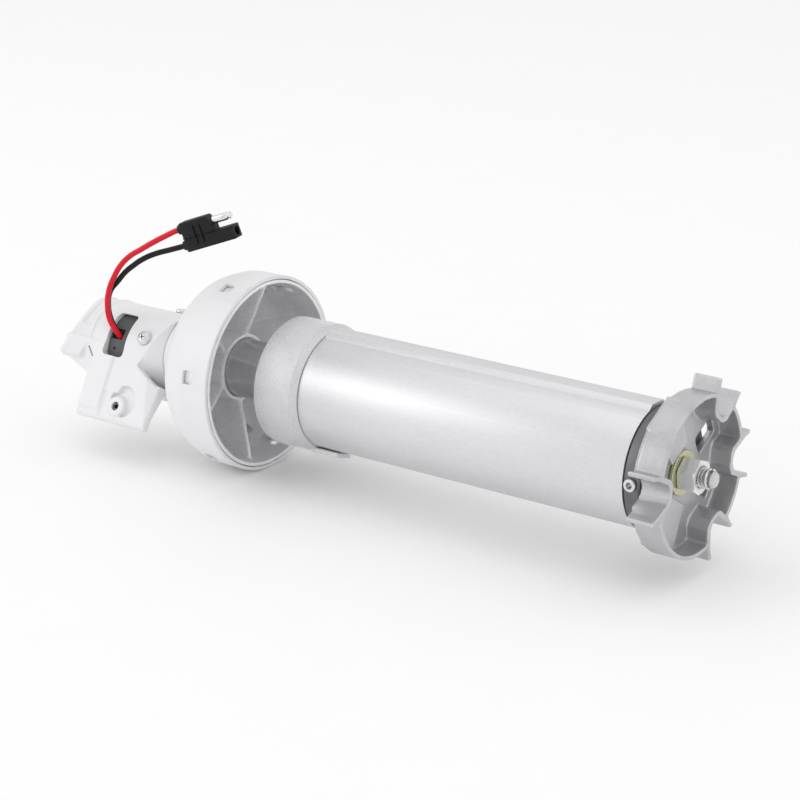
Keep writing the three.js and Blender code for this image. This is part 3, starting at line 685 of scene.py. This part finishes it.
def pan_screw(name, x, seat_radius):
    """A cross-head pan screw standing at the top of the axis."""
    screw = turned(name, [(-4.4, 0), (-4.4, 1.7), (-3.9, 1.95), (0, 1.95), (0, 3.7), (0.8, 3.75), (1.5, 3.45),
                          (2.1, 2.8), (2.45, 1.8), (2.6, 0.9), (2.62, 0)], 64)
    for turn in (0, 90):
        arm = block("cross_arm", (0.9, 4), (-2.1, 2.1), (-0.42, 0.42))
        select_where(arm, lambda v: v.co.x < 0.002)
        bpy.ops.transform.resize(value=(1, 0.45, 0.8))
        bpy.ops.object.mode_set(mode="OBJECT")
        cut_from(screw, turn_by(arm, turn + 20))
    shade(screw, 30)
    screw.rotation_euler = (0, -math.pi / 2, 0)
    screw.location = (x * MM, 0, seat_radius * MM)
    apply_place(screw)
    return screw


for name, seat_radius, turn in (("head_screw_top", 19.0, 0), ("head_screw_side", 22.3, 90)):
    screw = set_on_axis(turn_by(pan_screw(name + "_zinc", 10, seat_radius), turn), HEAD_LEAN_DEG)
    install(screw, bright_zinc, "motor_body", "zinc", name)

set_screw = rod("clamp_set_screw", (LEG_SCREW_X, -16.5, -36.5), (LEG_SCREW_X, -21.9, -36.5), 2.05, 40)
cut_from(set_screw, rod("hex_socket", (LEG_SCREW_X, -19.6, -36.5), (LEG_SCREW_X, -24, -36.5), 1.25, 6))
round_edges(set_screw, 0.22, 2, 40)
shade(set_screw)
set_on_axis(set_screw, HEAD_LEAN_DEG)
dark_steel = finish("oiled_steel", (0.16, 0.16, 0.17), 0.35, metallic=1.0, grain=2000, patches=150, shade=0.2,
                    gloss_shift=0.1, relief=0.15)
install(set_screw, dark_steel, "motor_body", "steel", "leg_set_screw")

# ---- Neck ----
# A ground steel tube pressed into the head. It carries the motor's weight, the leads run
# inside it and the end cap turns on it.

neck = turned("neck_tube", [
    (1, 11.5), (1, 14.1), (1.4, 14.5), (88.2, 14.5), (88.2, 11.5)], 144)
round_edges(neck, 0.2, 2, 40)
shade(neck)
set_on_axis(neck)
ground_steel = finish("ground_steel", (0.60, 0.60, 0.61), 0.34, metallic=1.0, grain=800, patches=45, shade=0.12,
                      gloss_shift=0.06, relief=0.1, depth=0.00002, stretch=(6, 1, 1))
install(neck, ground_steel, "motor_body", "steel", "motor_neck")

# ---- End cap ----
# A die-cast aluminium dish with six ribs and a plain bored hub that turns on the neck, under a
# white painted cover spun to the same line. The roller tube's end sits inside the dish's rim.

COVER_LINE = [
    (73.4, 48.5), (57.5, 48.3), (55.4, 47.9), (53.2, 47.1), (51, 46.35), (48.5, 45.4), (46.4, 44.4), (44.5, 43.2),
    (42.4, 41.5), (40.5, 39.5), (37.9, 36.4), (35.2, 33), (32.8, 29.2), (30.5, 25.5), (29, 22.9), (27.5, 21),
    (26.1, 19.85), (24.5, 19.2), (21.5, 18.9),
]
COVER_WALL = 1.6
RIB_DEG = (20, 80, 140, 200, 260, 320)
COVER_WINDOW_DEG = (50, 110, 170, 230, 290, 350)
CAST_WINDOW_DEG = (50, 290)
HUB_R = 16.8
NECK_RUN_R = 14.56


def offset_line(line, distance):
    """The same profile moved inward along its own normals."""
    moved = []
    for i, (x, r) in enumerate(line):
        (x0, r0), (x1, r1) = line[max(i - 1, 0)], line[min(i + 1, len(line) - 1)]
        dx, dr = x1 - x0, r1 - r0
        length = math.hypot(dx, dr)
        moved.append((x - dr / length * distance, r + dx / length * distance))
    return moved


cover_inside = offset_line(COVER_LINE, COVER_WALL)[::-1]
cover_inside[-1] = (COVER_LINE[0][0], COVER_LINE[0][1] - COVER_WALL)
cover_inside[0] = (COVER_LINE[-1][0], COVER_LINE[-1][1] - COVER_WALL)
cover = turned("cap_cover_shell", COVER_LINE + cover_inside, 168)
for degrees in COVER_WINDOW_DEG:
    window = rod("cover_window", (62.2, 0, 43), (62.2, 0, 51), 3.3, 40)
    add_to(window, block("window_back", (59, 62.2), (-3.3, 3.3), (43, 51)))
    cut_from(cover, turn_by(window, degrees - 90))
round_edges(cover, 0.32, 3, 40)
shade(cover, 30)
set_on_axis(cover)
install(cover, white_paint, "end_cap", "white_paint", "cap_cover")

CASTING_GAP = COVER_WALL + 0.35
CASTING_WALL = 1.85
dish_outside = offset_line(COVER_LINE, CASTING_GAP)[:14]
dish_outside[0] = (74, COVER_LINE[0][1] - CASTING_GAP)
dish_inside = offset_line(COVER_LINE, CASTING_GAP + CASTING_WALL)[:14][::-1]
dish_inside[-1] = (74, COVER_LINE[0][1] - CASTING_GAP - CASTING_WALL)
dish = turned("cap_dish_casting", dish_outside + [
    (29.6, HUB_R + 0.1), (24, HUB_R), (24, NECK_RUN_R), (57.2, NECK_RUN_R), (58, NECK_RUN_R + 0.6), (58, HUB_R),
    (34.6, HUB_R)] + dish_inside, 168)
rib_root = offset_line(COVER_LINE, CASTING_GAP + 1.1)[2:14]
ribs = []
for degrees in RIB_DEG:
    rib = start_outline("rib", [(x, -1.1, r) for x, r in
                                [(56.6, 15.7), (57.6, 16.6), (67.6, 45.4)] + rib_root + [(31, 15.8)]])
    bpy.ops.mesh.select_all(action="SELECT")
    bpy.ops.mesh.edge_face_add()
    bpy.ops.mesh.extrude_region_move(TRANSFORM_OT_translate={"value": (0, 2.2 * MM, 0)})
    clean_normals()
    bpy.ops.object.mode_set(mode="OBJECT")
    ribs.append(turn_by(rib, degrees - 90))
gather(dish, *ribs)
cast_skin(dish, 0.62, 4)
for degrees in CAST_WINDOW_DEG:
    wall_window = block("wall_window", (54, 66), (-2.6, 2.6), (38, 52))
    floor_window = block("floor_window", (36, 54.5), (-2, 2), (33, 42))
    round_edges(wall_window, 0.9, 3, 40)
    round_edges(floor_window, 0.8, 3, 40)
    cut_from(dish, turn_by(wall_window, degrees - 90), turn_by(floor_window, degrees - 90))
shade(dish, 42)
set_on_axis(dish)
cast_aluminium = finish("cast_aluminium", (0.86, 0.86, 0.87), 0.40, metallic=0.4, grain=1100, patches=55,
                        shade=0.14, gloss_shift=0.1, relief=0.3, depth=0.00007, wear=0.9,
                        worn_colour=(0.86, 0.86, 0.87))
install(dish, cast_aluminium, "end_cap", "cast_aluminium", "cap_casting")

# ---- Rear sleeve ----
# The motor's rear housing, a sand-blasted aluminium casting around the brush gear, shrunk on
# the neck. A spigot and a tongue locate the motor tube on it.

sleeve = turned("rear_sleeve_casting", [
    (88.5, 15), (88.5, 30.4), (89.3, 31.2), (110.2, 31.2), (110.35, 31.0), (110.7, 31.0), (110.9, 30.85),
    (113.1, 29.3), (113.4, 29.1), (113.4, 26.2), (119.6, 26.2), (120, 25.8), (120, 24), (92.5, 24),
    (92.5, 15)], 168)
foot = turn_by(block("foot", (90, 112), (-6, 6), (25, 31.2)), 162)
tongue = turn_by(block("tongue", (108, 126.5), (-5.5, 5.5), (28.9, 31.4)), 162)
round_edges(tongue, 0.7, 3, 40)
add_to(sleeve, foot, tongue)
round_edges(sleeve, 0.25, 2, 35)
shade(sleeve, 30)
set_on_axis(sleeve)
blasted = finish("blasted_casting", (0.66, 0.65, 0.665), 0.44, metallic=0.6, grain=1500, patches=70, shade=0.13,
                 gloss_shift=0.08, relief=0.75, depth=0.00016, speckle=0.8, wear=0.6,
                 worn_colour=(0.85, 0.85, 0.86))
install(sleeve, blasted, "motor_body", "sleeve_casting", "rear_sleeve")

# ---- Motor tube ----
# A drawn aluminium tube, satin etched, with one flat raised key strip along its top that
# keeps the motor from turning in its housing.

tube = rod("motor_tube_satin", (113.7, 0, 0), (291, 0, 0), 28.5, 192)
strip = pushed("key_strip", [(-7, 26.9), (-7, 27.65), (-4.7, 29.78), (-4.4, 29.9), (4.4, 29.9), (4.7, 29.78),
                             (7, 27.65), (7, 26.9)], 113.7, 291)
add_to(tube, strip)
cut_from(tube, rod("tube_bore", (100, 0, 0), (300, 0, 0), 26.6, 192))
round_edges(tube, 0.22, 2, 32)
shade(tube, 30)
set_on_axis(tube)
satin = finish("satin_aluminium", (0.72, 0.715, 0.735), 0.48, metallic=1.0, grain=1400, patches=30, shade=0.055,
               gloss_shift=0.05, relief=0.3, depth=0.00006, stretch=(0.35, 1, 1), speckle=0.7, wear=0.5,
               worn_colour=(0.88, 0.88, 0.88))
install(tube, satin, "motor_body", "satin_aluminium", "motor_tube")

# ---- Brush gear, magnets and rotor ----
# Inside the sleeve and tube: a moulded brush holder with two carbon brushes, a pressed steel
# can with two ferrite magnets, and a wound rotor with its commutator on a ground shaft.

inner_finishes = {
    ("brush_holder",): finish("phenolic_moulding", (0.03, 0.028, 0.027), 0.5, grain=1800, patches=120, shade=0.3,
                              relief=0.2),
    ("brush_upper", "brush_lower"): finish("brush_carbon", (0.045, 0.045, 0.05), 0.6, metallic=0.2, grain=3500,
                                           patches=300, shade=0.35, relief=0.3),
    ("motor_can",): finish("rolled_can_steel", (0.33, 0.34, 0.36), 0.4, metallic=0.9, grain=900, patches=60,
                           shade=0.12, relief=0.2, stretch=(0.3, 1, 1)),
    ("magnet_upper", "magnet_lower"): finish("ferrite", (0.055, 0.055, 0.06), 0.65, grain=2600, patches=110,
                                             shade=0.25, relief=0.35),
    ("rotor_core",): finish("core_laminations", (0.24, 0.24, 0.25), 0.42, metallic=0.9, grain=400, patches=80,
                            shade=0.2, relief=0.4, stretch=(8, 1, 1)),
    ("winding_rear", "winding_front", "commutator"): finish(
        "enamelled_copper", (0.45, 0.17, 0.07), 0.38, metallic=0.9, grain=1600, patches=200, shade=0.22,
        relief=0.5),
    ("ring_gear",): finish("broached_steel", (0.27, 0.27, 0.28), 0.4, metallic=0.95, grain=1200, patches=90,
                           shade=0.15, relief=0.2),
    ("rotor_shaft", "rotor_bearing_rear", "rotor_bearing_front", "output_bearing", "carrier_first"): finish(
        "ground_shaft_steel", (0.52, 0.52, 0.54), 0.25, metallic=1.0, grain=1500, patches=70, shade=0.1,
        relief=0.1),
    ("planet_first_1", "planet_first_2", "planet_first_3"): finish(
        "moulded_nylon", (0.74, 0.71, 0.62), 0.5, grain=1400, patches=120, shade=0.08, relief=0.12),
    ("planet_second_1", "planet_second_2", "planet_second_3"): finish(
        "sintered_bronze", (0.43, 0.27, 0.09), 0.42, metallic=0.9, grain=3200, patches=150, shade=0.2,
        relief=0.35),
}
for names, material in inner_finishes.items():
    for name in names:
        give_finish(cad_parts[name], material)

# ---- Gearbox end flange ----
# The dark cast end of the gearbox, held in the tube by three socket screws set into its rim.
# Its bearing carries the output shaft.

flange = turned("gearbox_end_flange", [
    (261, 17.3), (261, 26.2), (291.3, 26.2), (291.3, 27.7), (291.8, 28.2), (298.6, 28.2), (299.4, 27.4), (299.4, 20),
    (299, 19.6), (299, 11.4), (299.4, 11), (299.4, 9.3), (278, 9.3), (278, 17.3)], 144)
FLANGE_SCREW_DEG = (58, 178, 298)
for degrees in FLANGE_SCREW_DEG:
    cut_from(flange, turn_by(rod("screw_way", (295.3, 0, 22), (295.3, 0, 32), 2.2, 32), degrees - 90))
round_edges(flange, 0.18, 2, 35)
shade(flange, 32)
set_on_axis(flange)
dark_casting = finish("dark_casting", (0.16, 0.16, 0.17), 0.42, metallic=0.75, grain=1300, patches=60, shade=0.14,
                      gloss_shift=0.1, relief=0.35, depth=0.00008, wear=0.7, worn_colour=(0.55, 0.55, 0.56))
install(flange, dark_casting, "motor_body", "dark_casting", "gearbox_flange")

flange_screw = turned("flange_screw_master", [
    (24.5, 0), (24.5, 1.4), (24.8, 1.6), (28.5, 1.6), (28.5, 2.75), (28.65, 2.9), (29.8, 2.9), (30.1, 2.6),
    (30.1, 0)], 48)
cut_from(flange_screw, rod("hex_recess", (27.4, 0, 0), (31, 0, 0), 1.7, 6))
round_edges(flange_screw, 0.1, 2, 40)
shade(flange_screw, 30)
flange_screw.rotation_euler = (0, -math.pi / 2, 0)
flange_screw.location = (295.3 * MM, 0, 0)
apply_place(flange_screw)
for i, degrees in enumerate(FLANGE_SCREW_DEG):
    pick(flange_screw)
    bpy.ops.object.duplicate()
    screw = bpy.context.object
    screw.name = f"flange_socket_screw_{i + 1}"
    set_on_axis(screw, degrees - 90)
    install(screw, bright_zinc, "motor_body", "zinc", f"flange_screw_{i + 1}")
bpy.data.objects.remove(flange_screw)

# ---- Output shaft ----
# Turned from one bar: the second stage's carrier, the bearing journal, a square that drives
# the crown, and a threaded stud with a chamfered end for the crown's nut.

STUD_START_X = 303.4
STUD_END_X = 321
STUD_R = 4.76
THREAD_PITCH = 1.588
THREAD_ROOT_R = 3.95

pick(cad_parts["output_shaft"])
bpy.ops.object.duplicate()
shaft = bpy.context.object
shaft.name = "output_shaft_turned"
for key in list(shaft.keys()):
    del shaft[key]
shaft.parent = None
bpy.ops.object.mode_set(mode="EDIT")
clean_normals()
bpy.ops.mesh.select_all(action="SELECT")
bpy.ops.mesh.bisect(plane_co=(STUD_START_X * MM, 0, 0), plane_no=(1, 0, 0), clear_outer=True, use_fill=True)
bpy.ops.object.mode_set(mode="OBJECT")
shade(shaft, 30)

stud = turned("stud_core", [
    (303, 0), (303, 4.4), (304.2, THREAD_ROOT_R), (320, THREAD_ROOT_R), (STUD_END_X, 3.3), (STUD_END_X, 0)], 64)
thread = start_outline("thread_ridge", [
    (304, 0, THREAD_ROOT_R - 0.12), (304.66, 0, STUD_R), (304.93, 0, STUD_R), (305.56, 0, THREAD_ROOT_R - 0.12),
    (304, 0, THREAD_ROOT_R - 0.12)])
bpy.ops.mesh.select_all(action="SELECT")
bpy.ops.mesh.remove_doubles(threshold=1e-7)
bpy.ops.object.mode_set(mode="OBJECT")
with_modifier(thread, "SCREW", axis="X", steps=48, render_steps=48, iterations=9, screw_offset=THREAD_PITCH * MM,
              use_merge_vertices=False)
pick(thread)
bpy.ops.object.mode_set(mode="EDIT")
bpy.ops.mesh.select_all(action="DESELECT")
bpy.ops.mesh.select_non_manifold()
bpy.ops.mesh.edge_face_add()
bpy.ops.object.mode_set(mode="OBJECT")
pick(thread)
bpy.ops.object.mode_set(mode="EDIT")
clean_normals()
bpy.ops.object.mode_set(mode="OBJECT")
shade(stud, 30)
shade(thread, 40)
gather(stud, thread)
set_on_axis(stud)
gather(shaft, stud)
turned_steel = finish("turned_steel", (0.55, 0.54, 0.53), 0.26, metallic=1.0, grain=1400, patches=120, shade=0.12,
                      gloss_shift=0.08, relief=0.15, wear=0.4, worn_colour=(0.9, 0.89, 0.87))
install(shaft, turned_steel, "output", "steel", "output_shaft")

# ---- Drive crown ----
# A die-cast aluminium crown that grips the inside of the roller tube: a short drum with four
# channels for the tube's inner ridges, each mouth flared into two tabs, and a dished web with
# two raised spokes that the shaft's square drives.

CROWN_X = (301.4, 314.6)
WEB_X = (300, 303.6)
CROWN_R = 37
TAB_R = 42.5
CHANNEL_DEG = (-2, 58, 178, 298)
CHANNEL_LINE = [(TAB_R, 9.6), (37.6, 8.2), (33.5, 6.2), (29.8, 4.6), (28.2, 2.4), (27.6, 0)]


def channel_outline(grow, mouth):
    """Half the channel's line, thickened by grow, mirrored into a closed outline."""
    half = [(t + grow, r - grow) for r, t in CHANNEL_LINE]
    half[0] = (9.9 if mouth > TAB_R else half[0][0], mouth)
    return half + [(-t, r) for t, r in half[-2::-1]]


crown = turned("drive_crown_casting", [
    (CROWN_X[0], CROWN_R - 1.9), (CROWN_X[0], CROWN_R), (CROWN_X[1], CROWN_R),
    (CROWN_X[1], CROWN_R - 1.9)], 144)
add_to(crown, turned("web", [(WEB_X[0], 0), (WEB_X[0], 36), (WEB_X[1], 36), (WEB_X[1], 0)], 72))
for degrees in CHANNEL_DEG:
    add_to(crown, turn_by(pushed("channel_wall", channel_outline(1.9, TAB_R), *CROWN_X), degrees - 90))
for degrees in (118, 238):
    spoke = block("spoke", (WEB_X[0], WEB_X[1] + 3.2), (-7.5, 7.5), (12.5, 36))
    select_where(spoke, lambda v: v.co.z > 0.03)
    bpy.ops.transform.resize(value=(1, 1.35, 1))
    bpy.ops.object.mode_set(mode="OBJECT")
    add_to(crown, turn_by(spoke, degrees - 90))
for degrees in CHANNEL_DEG:
    cut_from(crown, turn_by(
        pushed("channel", channel_outline(0, TAB_R + 2), WEB_X[0] - 1, CROWN_X[1] + 1), degrees - 90))
for degrees in (28, 328):
    pocket = block("web_pocket", (WEB_X[0] - 3, WEB_X[1] + 3), (-4.5, 4.5), (16, 31))
    round_edges(pocket, 1.5, 4, 40)
    cut_from(crown, turn_by(pocket, degrees - 90))
cut_from(crown, block("drive_square", (290, 320), (-5.5, 5.5), (-5.5, 5.5)))
cast_skin(crown, 0.5, 4)
set_on_axis(crown)
crown_casting = finish("crown_casting", (0.53, 0.53, 0.545), 0.38, metallic=0.75, grain=1300, patches=60,
                       shade=0.12, gloss_shift=0.1, relief=0.4, depth=0.00008, wear=0.9,
                       worn_colour=(0.88, 0.88, 0.89))
install(crown, crown_casting, "output", "cast_aluminium", "drive_crown")

# ---- Crown washer and nut ----
# A yellow-passivated washer, domed a little by the press, and a hexagon nut with chamfered
# corners on both faces that clamps the crown on the shaft's square.

washer = turned("crown_washer_yellow", [
    (303.9, 5.06), (303.9, 10.2), (304.1, 10.4), (305.3, 10.4), (305.5, 10.1), (305.5, 5.3),
    (305.3, 5.06)], 96)
shade(washer, 30)
set_on_axis(washer)
yellow_zinc = finish("yellow_passivate", (0.56, 0.55, 0.34), 0.3, metallic=0.85, grain=1700, patches=260,
                     shade=0.16, gloss_shift=0.1, relief=0.15, wear=0.4, worn_colour=(0.75, 0.74, 0.6))
install(washer, yellow_zinc, "output", "yellow_zinc", "crown_washer")

NUT_X = (305.8, 314.2)
nut = rod("crown_hex_nut", (NUT_X[0], 0, 0), (NUT_X[1], 0, 0), 8.25, 6)
chamfer = turned("nut_chamfer", [
    (NUT_X[0], 0), (NUT_X[0], 7.5), (NUT_X[0] + 0.9, 8.9), (NUT_X[1] - 0.9, 8.9), (NUT_X[1], 7.5),
    (NUT_X[1], 0)], 96)
with_modifier(nut, "BOOLEAN", operation="INTERSECT", solver="MANIFOLD", object=chamfer)
bpy.data.objects.remove(chamfer)
cut_from(nut, turned("nut_bore", [(300, 0), (300, 5.06), (320, 5.06), (320, 0)], 64))
round_edges(nut, 0.16, 2, 25)
shade(nut, 28)
set_on_axis(nut, 8)
nut_zinc = finish("nut_zinc", (0.80, 0.82, 0.81), 0.34, metallic=0.45, grain=1800, patches=220, shade=0.08,
                  gloss_shift=0.08, relief=0.12, wear=0.4, worn_colour=(0.95, 0.95, 0.94))
install(nut, nut_zinc, "output", "zinc", "crown_nut")
